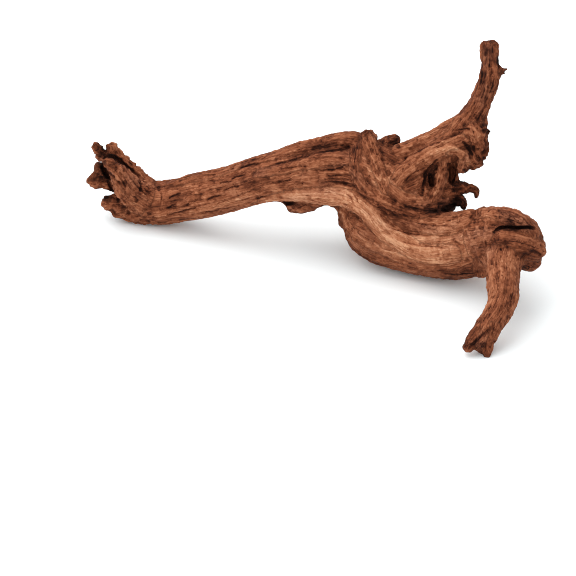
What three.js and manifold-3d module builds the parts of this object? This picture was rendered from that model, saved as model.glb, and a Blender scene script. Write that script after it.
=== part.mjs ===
// A piece of mopani root wood: one long limb that grew as a bundle of twisted strands.
// The limb runs from a broken, hollow end on the left to a knotted heart, where it parts into an
// upright branch and a heavy trunk that ends in a knuckle with one leg. It is one solid, in millimetres,
// +X to the right, +Y away from the viewer and +Z up, and it stands on the table at Z = 0.
import * as THREE from "three";
import Module from "manifold-3d";

// Driving dimensions, in millimetres. The strands are drawn on a sketch of the wood seen from the
// front and above: each point is [across, drop, depth, radius], where across runs right along the
// sketch, drop runs down it, and depth runs away from the viewer, level with the table.
const SKETCH_TILT = THREE.MathUtils.degToRad(30);
const SKETCH_MIDDLE = 316.5;
const SKETCH_TABLE = 282;
const DEPTH_MIDDLE = -0.5;
const CELL = 6.1;
const CREASE = 2.8;
const HOLLOW_EDGE = 2.0;
const SAMPLES_PER_SPAN = 5;
const FIELD_MARGIN = 12;
const FILLED = -CELL / 10;
const SLOPE_PROBE = CELL / 8;
const SETTLE_LIMIT = CELL / 4;
const FLAT_MARGIN = 40;

// Strands of wood. Those of one limb lie side by side, and the creases between them show.
const LIMB = {
  core: [
    [140, 205, 126, 16], [165, 201.8, 119, 22], [200, 195.8, 106, 22], [235, 188, 93, 21],
    [265, 179.5, 84, 21], [295, 174, 78, 23], [330, 169, 72, 27], [365, 173, 62, 30], [395, 186, 52, 30],
  ],
  upperRidge: [
    [172, 187, 112, 6], [184, 182.5, 109, 6.8], [195, 179.5, 106, 7.6], [220, 175.5, 98, 8],
    [250, 165.5, 90, 7.5], [280, 156.5, 83, 7.2], [300, 149.5, 79, 8], [322, 144.5, 75, 8],
    [350, 139.5, 71, 8.5], [364, 143, 66, 9],
  ],
  middleStrand: [
    [235, 181, 86, 8], [265, 175, 74, 8.5], [300, 166, 65, 8], [322, 161, 59, 9], [342, 160, 55, 9.5],
    [362, 166, 49, 9],
  ],
  lowerFold: [[285, 179, 70, 6.5], [310, 177, 58, 7], [345, 177, 50, 7.5], [360, 182, 44, 8]],
  backRidge: [
    [215, 185, 112, 10], [260, 172, 106, 11], [305, 159, 98, 13], [350, 160, 92, 14],
    [385, 172, 84, 13], [415, 188, 70, 12],
  ],
  backFold: [
    [240, 192, 104, 8], [285, 186, 96, 10], [330, 187, 92, 13], [370, 200, 84, 15], [405, 220, 74, 17],
    [435, 232, 58, 16], [465, 238, 36, 14],
  ],
  underNub: [
    [322, 197, 66, 7], [310, 203, 64, 7.5], [299, 205.5, 63, 6.5], [293.5, 207.5, 62, 4.6],
    [286, 200, 66, 4.6],
  ],
};
const SWEEP = {
  paleStrand: [
    [160, 214, 116, 8], [200, 208.5, 100, 9], [240, 199, 86, 8.8], [265, 193, 74, 9.2],
    [295, 192, 62, 9.5], [325, 194, 50, 10.5], [345, 198, 40, 11.5], [360, 210, 28, 12],
    [378, 230, 15, 12], [402, 245, 5, 12], [430, 252, -6, 12], [458, 251, -17, 11],
  ],
  trunk: [
    [354, 209, 50, 15], [372, 226, 38, 25], [400, 237, 31, 29.5], [430, 244, 18, 31],
    [460, 245, 6, 30], [487, 239, -10, 27],
  ],
  trunkUnder: [
    [357, 221, 44, 14], [362, 236, 35, 16], [377, 246.5, 28, 17], [397, 252, 21, 17.5],
    [430, 258.5, 8, 18.5], [450, 261.5, 0, 18.3], [467, 260.5, -7, 17.5], [482, 258, -14, 16],
  ],
  trunkTop: [[395, 215, 26, 13], [425, 224, 12, 13], [455, 226, 0, 14], [476, 219, -11, 12]],
  backRoot: [[380, 212, 80, 16], [402, 231, 66, 19.5], [424, 236, 60, 19], [446, 246, 40, 18]],
};
const HEART = {
  core: [[370, 168, 58, 28], [400, 182, 48, 30], [425, 195, 38, 24], [444, 201, 32, 13]],
  crownKnob: [[367, 152, 58, 10], [369.5, 138.2, 60, 8]],
  crownBlock: [[380, 152, 66, 9], [388, 144.5, 68, 8.2], [394.5, 140, 68, 6.2]],
  collar: [[369, 144, 53, 8], [374, 156, 45, 8], [380, 172, 35, 8], [388, 188, 27, 8]],
  swirl: [
    [360, 152, 52, 8], [360, 168, 43, 8.5], [368, 187, 34, 10], [385, 201, 24, 10], [408, 210, 16, 9],
    [432, 212, 12, 8],
  ],
  innerSwirl: [[392, 188, 26, 8], [405, 199, 21, 9], [424, 204, 17, 8], [442, 203, 22, 7]],
  scoopRim: [[437, 158, 34, 6.5], [449, 153, 36, 6.5], [460, 155, 38, 6.5], [464, 163, 36, 6]],
  scoopWall: [[447, 158, 41, 10], [448, 174, 39, 10], [444, 190, 35, 10]],
  pillar: [[442, 162, 34, 5], [440, 174, 31, 5.5], [436, 188, 25, 6.5], [430, 200, 19, 7]],
};
const BRANCH = {
  core: [
    [400, 176, 52, 18], [425, 162, 50, 18], [448, 144, 52, 17], [466.5, 126, 56, 14.3],
    [476.2, 110, 59, 11.6], [481.6, 99, 61, 10.8], [486.3, 88, 64, 10.8], [488.8, 77, 66, 10.6],
    [489, 66, 68, 8.2], [488.8, 57, 70, 7.6], [488.8, 50, 71, 7.8],
  ],
  topStrand: [
    [400.5, 152.5, 52, 8.8], [413, 148, 51, 9.5], [430, 141, 53, 9.6], [448, 131, 54, 9.6],
    [459, 124, 57, 7.5], [467, 117, 60, 5.5],
  ],
  frontStrand: [
    [388, 190, 30, 9], [404, 175, 30, 10], [422, 160, 34, 10], [440, 150, 36, 9], [456, 143, 41, 8.5],
    [472, 136, 46, 8.5], [480, 122, 54, 7],
  ],
  tipLeft: [[483.5, 58, 69, 3.8], [483, 46.5, 71, 4]],
  tipRight: [[493, 60, 70, 4.8], [492.5, 46, 72, 4.8]],
  burr: [[494, 74, 66, 5.5], [497, 70.5, 66, 4]],
  brokenEdge: [[474, 132, 48, 13], [477.5, 145, 45, 10], [479, 153, 43, 8]],
  brokenTooth: [[468, 152, 42, 9], [473, 160, 40, 7.8], [478, 162, 39, 4.5]],
  brokenLobe: [[464, 155, 39, 8], [460, 166, 37, 7]],
  hookProng: [
    [438, 194, 32, 9], [452, 189, 33, 8.5], [464, 188.5, 34, 5.8], [471, 191, 33.5, 4.8],
    [475, 194.5, 33, 3.6],
  ],
  lowerProng: [[440, 202, 30, 8], [452, 199.5, 29, 6.5], [460, 201, 28.5, 4.6], [463, 206.5, 28, 3.3]],
};
const KNUCKLE = {
  core: [[485, 239, -10, 27], [502, 236, -26, 27.5], [516.5, 239.5, -34, 25]],
  neckRing: [[482, 214, -10, 7], [486, 230, -26, 7], [483, 250, -31, 8.5], [481, 268.5, -22, 9.5]],
  upperLip: [
    [490, 216.5, -20, 9.8], [508, 217.5, -36, 9], [520.5, 222.5, -43, 8.6], [528.5, 232, -44, 8.6],
  ],
  lowerLip: [[503, 240, -45, 13], [520, 244, -49, 14], [532, 249, -44, 12.2]],
  heel: [[515, 253, -44, 15], [527.5, 258.5, -40, 13]],
};
const LEG = {
  core: [
    [506, 250, -46, 18], [501.5, 272, -66, 17], [501.5, 290, -90, 16], [500.5, 301, -101, 15],
    [496.5, 311, -111, 14], [490.5, 321, -121, 13.2], [483, 332, -132, 11.2], [477, 341, -140, 8.5],
  ],
  leftToe: [[484, 326, -127, 10], [474, 336.5, -137, 8.4], [466, 346, -145, 5.8]],
  rightToe: [[489, 328, -130, 10], [485, 342, -140, 6.8], [484, 352.5, -145.5, 6.2]],
};
const HOLLOW_END = {
  foot: [[119, 211, 124, 7.2], [135, 209.5, 124, 13.2], [152, 206, 122, 17]],
  frontLip: [
    [162, 202, 121, 16], [146, 196, 117, 14], [131, 187, 112, 11], [122, 175.5, 110, 8.5],
    [114.5, 167, 110, 6.4], [107.5, 162, 111, 4.6],
  ],
  frontLipLower: [[140, 202, 117, 12], [124, 191.5, 112, 9], [118.5, 180, 110, 7], [113, 172, 110, 4.6]],
  upperProng: [
    [150, 190, 128, 10.5], [138, 178, 130, 8.6], [124, 164, 131, 7.4], [113.5, 153.5, 132, 6.8],
    [107.2, 146.6, 133, 6.2],
  ],
  stub: [[110, 158, 134, 6], [102, 152.5, 134, 5], [95.2, 146.2, 134, 6]],
  stubKnob: [[112, 161, 134, 6], [100.5, 156, 133, 5]],
  backJaw: [[132, 192, 138, 13], [114, 182, 141, 9], [101, 181.5, 142, 6.6], [91.5, 181, 142, 5.4]],
  backJawEdge: [[114, 172, 141, 8], [102, 168, 141, 6.6], [98.5, 173.5, 142, 6.6]],
  lowerTooth: [[128, 203, 124, 10], [114, 202, 124, 8.6], [106, 203, 124, 6.2]],
};

// Hollows cut into the wood, drawn in the same way.
const HOLLOWS = {
  mouth: [[94, 170, 120, 5], [104, 173, 123, 6.5], [116, 182, 126, 6]],
  mouthSlit: [[101, 160, 120, 2.2], [112, 159.5, 119, 2.5], [122, 164, 119, 2.5], [138, 178, 116, 2]],
  scoop: [[453, 166, 35, 5.5], [451, 178, 32, 6]],
  scoopRecess: [[430.5, 173, 27, 4.5], [429.5, 184, 24, 5]],
  prongGap: [[472, 176, 37, 5], [465, 176.5, 33, 3.5]],
  knuckleSlit: [
    [493, 231, -37, 2], [499, 228, -42, 3], [511, 227, -46, 3.6], [523, 227.5, -48, 3.4],
    [532, 229, -47, 2.4],
  ],
};

// Turns a sketch point into a place in the part's own frame.
function place([across, drop, depth]) {
  const rise = SKETCH_TABLE - drop;
  const height = (rise - depth * Math.sin(SKETCH_TILT)) / Math.cos(SKETCH_TILT);
  return new THREE.Vector3(across - SKETCH_MIDDLE, depth - DEPTH_MIDDLE, height);
}

// A strand as a chain of short tapered rods along a smooth curve, with the box that holds it.
function makeStrand(points) {
  const curve = new THREE.CatmullRomCurve3(points.map(place), false, "centripetal");
  const spans = points.length - 1;
  const count = spans * SAMPLES_PER_SPAN;
  const rods = [];
  const box = new THREE.Box3();
  let last = null;
  for (let i = 0; i <= count; i++) {
    const along = (i / count) * spans;
    const span = Math.min(Math.floor(along), spans - 1);
    const radius = THREE.MathUtils.lerp(points[span][3], points[span + 1][3], along - span);
    const sample = { centre: curve.getPoint(i / count), radius };
    box.union(new THREE.Box3().expandByPoint(sample.centre).expandByScalar(radius));
    if (last) rods.push(makeRod(last, sample));
    last = sample;
  }
  return { rods, box };
}

function makeRod(from, to) {
  const axis = to.centre.clone().sub(from.centre);
  const growth = to.radius - from.radius;
  return { start: from.centre, axis, lengthSq: axis.lengthSq(), radius: from.radius, growth };
}

// Distance from a point to a strand's surface, negative inside.
const offset = new THREE.Vector3();
function strandDistance(strand, point) {
  let nearest = Infinity;
  for (const rod of strand.rods) {
    offset.subVectors(point, rod.start);
    const share = THREE.MathUtils.clamp(offset.dot(rod.axis) / rod.lengthSq, 0, 1);
    const gap = offset.addScaledVector(rod.axis, -share).length() - rod.radius - share * rod.growth;
    nearest = Math.min(nearest, gap);
  }
  return nearest;
}

const strands = [LIMB, SWEEP, HEART, BRANCH, KNUCKLE, LEG, HOLLOW_END]
  .flatMap((group) => Object.values(group))
  .map(makeStrand);
const hollows = Object.values(HOLLOWS).map(makeStrand);

// Distance to the whole piece: strands melt together over CREASE, and hollows are cut with soft edges.
function woodDistance(point) {
  let total = 0;
  let nearest = FIELD_MARGIN;
  for (const strand of strands) {
    if (strand.box.distanceToPoint(point) > FIELD_MARGIN) continue;
    const gap = strandDistance(strand, point);
    nearest = Math.min(nearest, gap);
    total += Math.exp(-gap / CREASE);
  }
  let distance = total > 0 ? -CREASE * Math.log(total) : nearest;
  for (const hollow of hollows) {
    if (hollow.box.distanceToPoint(point) > FIELD_MARGIN) continue;
    distance = softMax(distance, -strandDistance(hollow, point), HOLLOW_EDGE);
  }
  return distance;
}

function softMax(a, b, width) {
  const blend = Math.max(width - Math.abs(a - b), 0) / width;
  return Math.max(a, b) + (blend * blend * width) / 4;
}

// A grid of distances over the box of all the strands.
function sampleGrid() {
  const box = new THREE.Box3();
  for (const strand of strands) box.union(strand.box);
  box.expandByScalar(2 * CELL);
  const size = box.getSize(new THREE.Vector3());
  const counts = size.toArray().map((length) => Math.ceil(length / CELL) + 1);
  const values = new Float64Array(counts[0] * counts[1] * counts[2]);
  const grid = { low: box.min, counts, values, index: (i, j, k) => i + counts[0] * (j + counts[1] * k) };
  const point = new THREE.Vector3();
  for (let k = 0; k < counts[2]; k++)
    for (let j = 0; j < counts[1]; j++)
      for (let i = 0; i < counts[0]; i++)
        values[grid.index(i, j, k)] = woodDistance(point.set(i, j, k).multiplyScalar(CELL).add(box.min));
  return grid;
}

// The eight corners of a cell, and the pairs of corners along its twelve edges.
const CORNERS = Array.from({ length: 8 }, (_, c) => [c & 1, (c >> 1) & 1, c >> 2]);
const EDGES = CORNERS.flatMap((_, c) => [1, 2, 4].filter((bit) => !(c & bit)).map((bit) => [c, c | bit]));

// True where the chosen corners of a cell hang together along its edges.
function cornersConnected(mask) {
  if (!mask) return true;
  let reached = mask & -mask;
  for (let pass = 0; pass < CORNERS.length; pass++)
    for (const [a, b] of EDGES) {
      const both = (1 << a) | (1 << b);
      if ((mask & both) === both && reached & both) reached |= both;
    }
  return reached === mask;
}
const ALL_CORNERS = 255;
const SIMPLE_CELL = Array.from(
  { length: ALL_CORNERS + 1 },
  (_, mask) => cornersConnected(mask) && cornersConnected(ALL_CORNERS ^ mask),
);

function cellCorners(grid, i, j, k) {
  return CORNERS.map(([x, y, z]) => grid.index(i + x, j + y, k + z));
}

function insideMask(grid, corners) {
  return corners.reduce((mask, corner, bit) => mask | (grid.values[corner] < 0 ? 1 << bit : 0), 0);
}

function forEachCell(grid, visit) {
  const [nx, ny, nz] = grid.counts;
  for (let k = 0; k < nz - 1; k++)
    for (let j = 0; j < ny - 1; j++) for (let i = 0; i < nx - 1; i++) visit(i, j, k);
}

// Fills the pinholes and pinched gaps that are finer than a cell, so that the surface stays closed.
function fillPinches(grid) {
  for (let changed = true; changed; ) {
    changed = false;
    forEachCell(grid, (i, j, k) => {
      const corners = cellCorners(grid, i, j, k);
      if (SIMPLE_CELL[insideMask(grid, corners)]) return;
      const open = corners.filter((corner) => grid.values[corner] >= 0);
      const shallowest = open.reduce((a, b) => (grid.values[a] < grid.values[b] ? a : b));
      grid.values[shallowest] = FILLED;
      changed = true;
    });
  }
}

// Fills the pockets that no open way leads into, so that the wood is solid all through.
function fillPockets(grid) {
  const steps = [grid.index(1, 0, 0), grid.index(0, 1, 0), grid.index(0, 0, 1)];
  const reached = new Uint8Array(grid.values.length);
  const queue = [0];
  reached[0] = 1;
  while (queue.length) {
    const here = queue.pop();
    for (const step of steps)
      for (const next of [here - step, here + step]) {
        if (reached[next] || !(grid.values[next] >= 0)) continue;
        reached[next] = 1;
        queue.push(next);
      }
  }
  grid.values.forEach((value, i) => {
    if (value >= 0 && !reached[i]) grid.values[i] = FILLED;
  });
}

// One vertex in each cell that the surface crosses, and one quad across each grid edge that it crosses.
function surfaceOf(grid) {
  const positions = [];
  const vertexOf = new Map();
  forEachCell(grid, (i, j, k) => {
    const corners = cellCorners(grid, i, j, k);
    const mask = insideMask(grid, corners);
    if (mask === 0 || mask === ALL_CORNERS) return;
    const sum = new THREE.Vector3();
    let crossings = 0;
    for (const [a, b] of EDGES) {
      const [va, vb] = [grid.values[corners[a]], grid.values[corners[b]]];
      if (va < 0 === vb < 0) continue;
      sum.add(new THREE.Vector3(...CORNERS[a]).lerp(new THREE.Vector3(...CORNERS[b]), va / (va - vb)));
      crossings++;
    }
    const inCells = sum.divideScalar(crossings).add(new THREE.Vector3(i, j, k));
    vertexOf.set(corners[0], positions.length);
    positions.push(settle(inCells.multiplyScalar(CELL).add(grid.low)));
  });
  return { positions, triangles: facesOf(grid, vertexOf, positions) };
}

// Slides a vertex along the field's slope towards the true surface, and less in a crease, where
// the slope is weak.
function settle(point) {
  const at = (x, y, z) => woodDistance(new THREE.Vector3(x, y, z).multiplyScalar(SLOPE_PROBE).add(point));
  const slope = new THREE.Vector3(
    at(1, 0, 0) - at(-1, 0, 0),
    at(0, 1, 0) - at(0, -1, 0),
    at(0, 0, 1) - at(0, 0, -1),
  ).divideScalar(2 * SLOPE_PROBE);
  const travel = THREE.MathUtils.clamp(woodDistance(point), -SETTLE_LIMIT, SETTLE_LIMIT);
  return point.addScaledVector(slope, -travel);
}

function facesOf(grid, vertexOf, positions) {
  const triangles = [];
  const steps = [grid.index(1, 0, 0), grid.index(0, 1, 0), grid.index(0, 0, 1)];
  forEachCell(grid, (i, j, k) => {
    const here = grid.index(i, j, k);
    steps.forEach((step, axis) => {
      if (grid.values[here] < 0 === grid.values[here + step] < 0) return;
      const [u, v] = [steps[(axis + 1) % 3], steps[(axis + 2) % 3]];
      const ring = [here - u - v, here - v, here, here - u].map((cell) => vertexOf.get(cell));
      if (grid.values[here] >= 0) ring.reverse();
      triangles.push(...splitQuad(ring, positions));
    });
  });
  return triangles;
}

// A quad as two triangles across its shorter diagonal.
function splitQuad([a, b, c, d], positions) {
  const first = positions[a].distanceToSquared(positions[c]);
  const second = positions[b].distanceToSquared(positions[d]);
  return first < second ? [a, b, c, a, c, d] : [a, b, d, b, c, d];
}

const wasm = await Module();
wasm.setup();

function toSolid(positions, triangles) {
  const vertProperties = new Float32Array(positions.flatMap((p) => p.toArray()));
  const triVerts = new Uint32Array(triangles);
  return new wasm.Manifold(new wasm.Mesh({ numProp: 3, vertProperties, triVerts }));
}

// The block under the table, which trims the feet to small flat spots.
function tableBlock(box) {
  const size = box.getSize(new THREE.Vector3()).addScalar(2 * FLAT_MARGIN);
  const block = new THREE.BoxGeometry(size.x, size.y, FLAT_MARGIN);
  block.translate(0, 0, -FLAT_MARGIN / 2);
  const corners = block.getAttribute("position");
  const merged = new Map();
  const positions = [];
  const indices = Array.from(block.index.array, (i) => {
    const corner = new THREE.Vector3().fromBufferAttribute(corners, i);
    const key = corner.toArray().join();
    if (!merged.has(key)) merged.set(key, positions.push(corner) - 1);
    return merged.get(key);
  });
  return toSolid(positions, indices);
}

function toGeometry(solid) {
  const mesh = solid.getMesh();
  const geometry = new THREE.BufferGeometry();
  geometry.setAttribute("position", new THREE.BufferAttribute(mesh.vertProperties, mesh.numProp));
  geometry.setIndex(new THREE.BufferAttribute(mesh.triVerts, 1));
  geometry.computeVertexNormals();
  return geometry;
}

function makeWood() {
  const grid = sampleGrid();
  fillPinches(grid);
  fillPockets(grid);
  const { positions, triangles } = surfaceOf(grid);
  const rough = toSolid(positions, triangles);
  return toGeometry(rough.subtract(tableBlock(new THREE.Box3().setFromPoints(positions))));
}

const wood = new THREE.Mesh(
  makeWood(),
  new THREE.MeshStandardMaterial({ color: 0x824f39, roughness: 0.85, metalness: 0 }),
);
wood.name = "mopani_wood";

const part = new THREE.Group();
part.add(wood);

export default part;
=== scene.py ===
"""A piece of mopani root wood, dressed for the camera on a plain pale floor.

The wood is drawn as strands on a sketch at the camera's own angle. The strands melt into one skin,
which gets its hollows, cuts, cracks and grain, and a matte reddish-brown colour that follows the grain,
with shade painted into its cracks, creases and undersides and highlights painted on its ridges.
All sizes are in millimetres until the mesh is made.
"""
import math
import bpy
import numpy as np
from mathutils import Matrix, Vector


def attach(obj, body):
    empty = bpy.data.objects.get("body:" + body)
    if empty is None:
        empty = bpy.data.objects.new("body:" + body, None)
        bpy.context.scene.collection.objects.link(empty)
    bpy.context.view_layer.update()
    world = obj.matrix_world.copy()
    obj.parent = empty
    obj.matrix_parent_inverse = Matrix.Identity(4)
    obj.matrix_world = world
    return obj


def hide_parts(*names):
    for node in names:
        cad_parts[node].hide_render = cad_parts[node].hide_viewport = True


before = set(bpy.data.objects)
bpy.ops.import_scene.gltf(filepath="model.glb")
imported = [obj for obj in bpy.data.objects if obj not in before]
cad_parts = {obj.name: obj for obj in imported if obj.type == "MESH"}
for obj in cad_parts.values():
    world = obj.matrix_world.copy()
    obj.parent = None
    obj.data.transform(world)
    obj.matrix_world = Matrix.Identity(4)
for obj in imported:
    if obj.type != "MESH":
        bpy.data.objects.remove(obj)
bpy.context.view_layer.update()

METRE = 1000.0
SEED = 7

# The sketch: across runs right, drop runs down, depth runs away from the viewer, level with the floor.
SKETCH_TILT = math.radians(30)
SKETCH_MIDDLE = 316.5
SKETCH_FLOOR = 282
DEPTH_MIDDLE = -0.5
SKETCH_SIZE = 576
SAMPLES_PER_SPAN = 4

# The skin: its grid, and how softly strands, hollows and cuts meet in it
CELL = 1.15
COARSE_HALVINGS = 3
CREASE = 1.5
HOLLOW_EDGE = 1.2
CUT_EDGE = 0.5
CUT_SHARES = (0.0, 0.5, 1.0)
CUT_REACH = 4.0
CARVED_MARGIN = 3
FIELD_MARGIN = 12.0
FINE_MARGIN = 5.0
BORDER_CELLS = 1.5
KEPT_CELLS = 1.1
PINCH_FILL = -0.1
RELAX_PASSES = 2
RELAX_KEEP = 0.45
TRIANGLE_LIMIT = 196000

# Strands of wood, each a list of (across, drop, depth, radius). Those of one group lie side by side.
LIMB = {
    "core": [
        (140, 205, 126, 16), (165, 201.8, 119, 22), (200, 195.8, 106, 22), (235, 188, 93, 21),
        (265, 179.5, 84, 21), (295, 174, 78, 23), (330, 169, 72, 27), (365, 173, 62, 30),
        (395, 186, 52, 30),
    ],
    "upper_ridge": [
        (172, 187, 112, 6), (184, 182.5, 109, 6.8), (195, 179.5, 106, 7.6), (220, 175.5, 98, 8),
        (250, 165.5, 90, 7.5), (280, 156.5, 83, 7.2), (300, 149.5, 79, 8), (322, 144.5, 75, 8),
        (350, 139.5, 71, 8.5), (364, 143, 66, 9),
    ],
    "middle_strand": [
        (235, 181, 86, 8), (265, 175, 74, 8.5), (300, 166, 65, 8), (322, 161, 59, 9),
        (342, 160, 55, 9.5), (362, 166, 49, 9),
    ],
    "lower_fold": [(285, 179, 70, 6.5), (310, 177, 58, 7), (345, 177, 50, 7.5), (360, 182, 44, 8)],
    "back_ridge": [
        (215, 185, 112, 10), (260, 172, 106, 11), (305, 159, 98, 13), (350, 160, 92, 14),
        (385, 172, 84, 13), (415, 188, 70, 12),
    ],
    "back_fold": [
        (240, 192, 104, 8), (285, 186, 96, 10), (330, 187, 92, 13), (370, 200, 84, 15),
        (405, 220, 74, 17), (435, 232, 58, 16), (465, 238, 36, 14),
    ],
    "under_nub": [
        (322, 197, 66, 7), (310, 203, 64, 7.5), (299, 205.5, 63, 6.5), (293.5, 207.5, 62, 4.6),
        (286, 200, 66, 4.6),
    ],
}
SWEEP = {
    "pale_strand": [
        (160, 214, 116, 8), (200, 208.5, 100, 9), (240, 199, 86, 8.8), (265, 193, 74, 9.2),
        (295, 192, 62, 9.5), (325, 194, 50, 10.5), (347, 197, 40, 11), (366, 208, 28, 11),
        (384, 227, 16, 11.5), (406, 242, 6, 12), (430, 252, -6, 12), (458, 251, -17, 11),
    ],
    "trunk": [
        (354, 209, 50, 15), (372, 226, 38, 25), (400, 237, 31, 29.5), (430, 244, 18, 31),
        (460, 245, 6, 30), (487, 239, -10, 27),
    ],
    "trunk_under": [
        (357, 221, 44, 14), (362, 236, 35, 16), (377, 246.5, 28, 17), (397, 252, 21, 17.5),
        (430, 258.5, 8, 18.5), (450, 261.5, 0, 18.3), (467, 260.5, -7, 17.5), (482, 258, -14, 16),
    ],
    "trunk_top": [(395, 215, 26, 13), (425, 224, 12, 13), (455, 226, 0, 14), (469, 221, -7, 11.5)],
    "back_root": [(380, 212, 80, 16), (402, 231, 66, 19.5), (424, 236, 60, 19), (446, 246, 40, 18)],
}
HEART = {
    "core": [(370, 168, 58, 28), (400, 182, 48, 30), (425, 195, 38, 24), (444, 201, 32, 13)],
    "crown_knob": [(367, 152, 58, 10), (369.5, 138.2, 60, 8)],
    "crown_block": [(380, 152, 66, 9), (388, 144.5, 68, 8.2), (394.5, 140, 68, 6.2)],
    "collar": [(369, 144, 53, 8), (374, 156, 45, 8), (380, 172, 35, 8), (388, 188, 27, 8)],
    "swirl": [
        (360, 152, 52, 8), (360, 168, 43, 8.5), (368, 187, 34, 10), (385, 201, 24, 10),
        (408, 210, 16, 9), (432, 212, 12, 8),
    ],
    "inner_swirl": [(392, 188, 26, 8), (405, 199, 21, 9), (424, 204, 17, 8), (442, 203, 22, 7)],
    "scoop_rim": [
        (428, 160, 30, 4.5), (438, 153.5, 31, 4.2), (449, 150.5, 33, 4), (460, 153.5, 35, 4.2),
        (465, 162, 36, 5),
    ],
    "scoop_wall": [(447, 158, 41, 10), (448, 174, 39, 10), (444, 190, 35, 10)],
    "pillar": [(442, 162, 34, 5), (440, 174, 31, 5.5), (436, 188, 25, 6.5), (430, 200, 19, 7)],
}
BRANCH = {
    "core": [
        (400, 176, 52, 18), (425, 162, 50, 18), (448, 144, 52, 17), (466.5, 126, 56, 14.3),
        (476.2, 110, 59, 11.6), (481.6, 99, 61, 10.8), (486.3, 88, 64, 10.8), (488.8, 77, 66, 10.6),
        (489, 66, 68, 8.2), (488.8, 57, 70, 7.6), (488.8, 50, 71, 7.8),
    ],
    "top_strand": [
        (400.5, 152.5, 52, 8.8), (413, 148, 51, 9.5), (430, 141, 53, 9.6), (448, 131, 54, 9.6),
        (459, 124, 57, 7.5), (467, 117, 60, 5.5),
    ],
    "front_strand": [
        (388, 190, 30, 9), (404, 175, 30, 10), (422, 160, 34, 10), (440, 150, 36, 9),
        (456, 143, 41, 8.5), (472, 136, 46, 8.5), (480, 122, 54, 7),
    ],
    "tip_left": [(483.5, 58, 69, 3.8), (483, 46.5, 71, 4)],
    "tip_right": [(493, 60, 70, 4.8), (492.5, 46, 72, 4.8)],
    "burr": [(494, 74, 66, 5.5), (497, 70.5, 66, 4)],
}
BROKEN_EDGE = {
    "broken_edge": [(474, 132, 48, 13), (477.5, 145, 45, 10), (479, 153, 43, 8)],
    "broken_tooth": [(468, 152, 42, 9), (473, 160, 40, 7.8), (478, 162, 39, 4.5)],
    "broken_lobe": [(464, 155, 39, 8), (460, 166, 37, 7)],
    "hook_prong": [
        (438, 194, 32, 9), (452, 189, 33, 8.5), (463, 187.6, 34, 5.2), (470, 189.4, 33.5, 3.9),
        (475.4, 192.6, 33, 3), (475.6, 197.2, 33, 1.7),
    ],
    "lower_prong": [
        (440, 202, 30, 8), (452, 199.5, 29, 6.5), (460, 201, 28.5, 4.6), (463, 206.5, 28, 3.3),
    ],
}
KNUCKLE = {
    "core": [(485, 239, -10, 27), (502, 236, -26, 27.5), (516.5, 239.5, -34, 25)],
    "neck_ring": [(482, 214, -10, 7), (486, 230, -26, 7), (483, 250, -31, 8.5), (481, 268.5, -22, 9.5)],
    "upper_lip": [
        (490, 216.5, -20, 9.8), (508, 217.5, -36, 9), (520.5, 222.5, -43, 8.6), (528.5, 232, -44, 8.6),
    ],
    "lower_lip": [(503, 240, -45, 13), (520, 244, -49, 14), (532, 249, -44, 12.2)],
    "heel": [(515, 253, -44, 15), (527.5, 258.5, -40, 13)],
}
LEG = {
    "core": [
        (506, 250, -46, 18), (501.5, 272, -66, 17), (501.5, 290, -90, 16), (500.5, 301, -101, 15),
        (496.5, 311, -111, 14), (490.5, 321, -121, 13.2), (483, 332, -132, 11.2), (477, 341, -140, 8.5),
    ],
    "left_toe": [(484, 326, -127, 10), (474, 336.5, -137, 8.4), (466, 346, -145, 5.8)],
    "right_toe": [
        (489, 328, -130, 10), (486, 341, -140, 6.4), (485.4, 349, -144, 4.8), (485, 354, -146.5, 4),
    ],
}
HOLLOW_END = {
    "foot": [(119, 211, 124, 7.2), (135, 209.5, 124, 13.2), (152, 206, 122, 17)],
    "front_lip": [
        (162, 202, 121, 16), (146, 196, 117, 14), (131, 187, 112, 11), (122, 175.5, 110, 8.5),
        (114.5, 167, 110, 6.4), (107.5, 162, 111, 4.6),
    ],
    "front_lip_lower": [
        (140, 202, 117, 12), (124, 191.5, 112, 9), (118.5, 180, 110, 7), (113, 172, 110, 4.6),
    ],
    "upper_prong": [
        (150, 190, 128, 10.5), (138, 178, 130, 8.6), (124, 164, 131, 7.4), (113.5, 153.5, 132, 6.8),
        (110, 146.8, 133, 5.4),
    ],
    "stub": [(111, 159, 134, 5), (101.6, 152.4, 134, 3), (95, 146.4, 133, 5.6)],
    "stub_knob": [(112, 161, 134, 6), (100.5, 156, 133, 5)],
    "back_jaw": [(132, 192, 138, 13), (114, 182, 141, 9), (101, 181.5, 142, 6.6), (91.5, 181, 142, 5.4)],
    "back_jaw_edge": [(114, 172, 141, 8), (102, 168, 141, 6.6), (98.5, 173.5, 142, 6.6)],
    "lower_tooth": [(128, 203, 124, 10), (114, 202, 124, 8.6), (106, 203, 124, 6.2)],
}

# Hollows between the strands, drawn in the same way
HOLLOWS = {
    "mouth": [(94, 170, 120, 5), (104, 173, 123, 6.5), (116, 182, 126, 6)],
    "mouth_slit": [(101, 160, 120, 1.6), (112, 159, 119, 2), (122, 164, 119, 1.4), (138, 178, 116, 1)],
    "scoop": [(453, 166, 35, 5.5), (451, 178, 32, 6)],
    "scoop_recess": [(430.5, 173, 27, 4.5), (429.5, 184, 24, 5)],
    "prong_gap": [(472, 176, 37, 5), (465, 176.5, 33, 3.5)],
}

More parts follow.
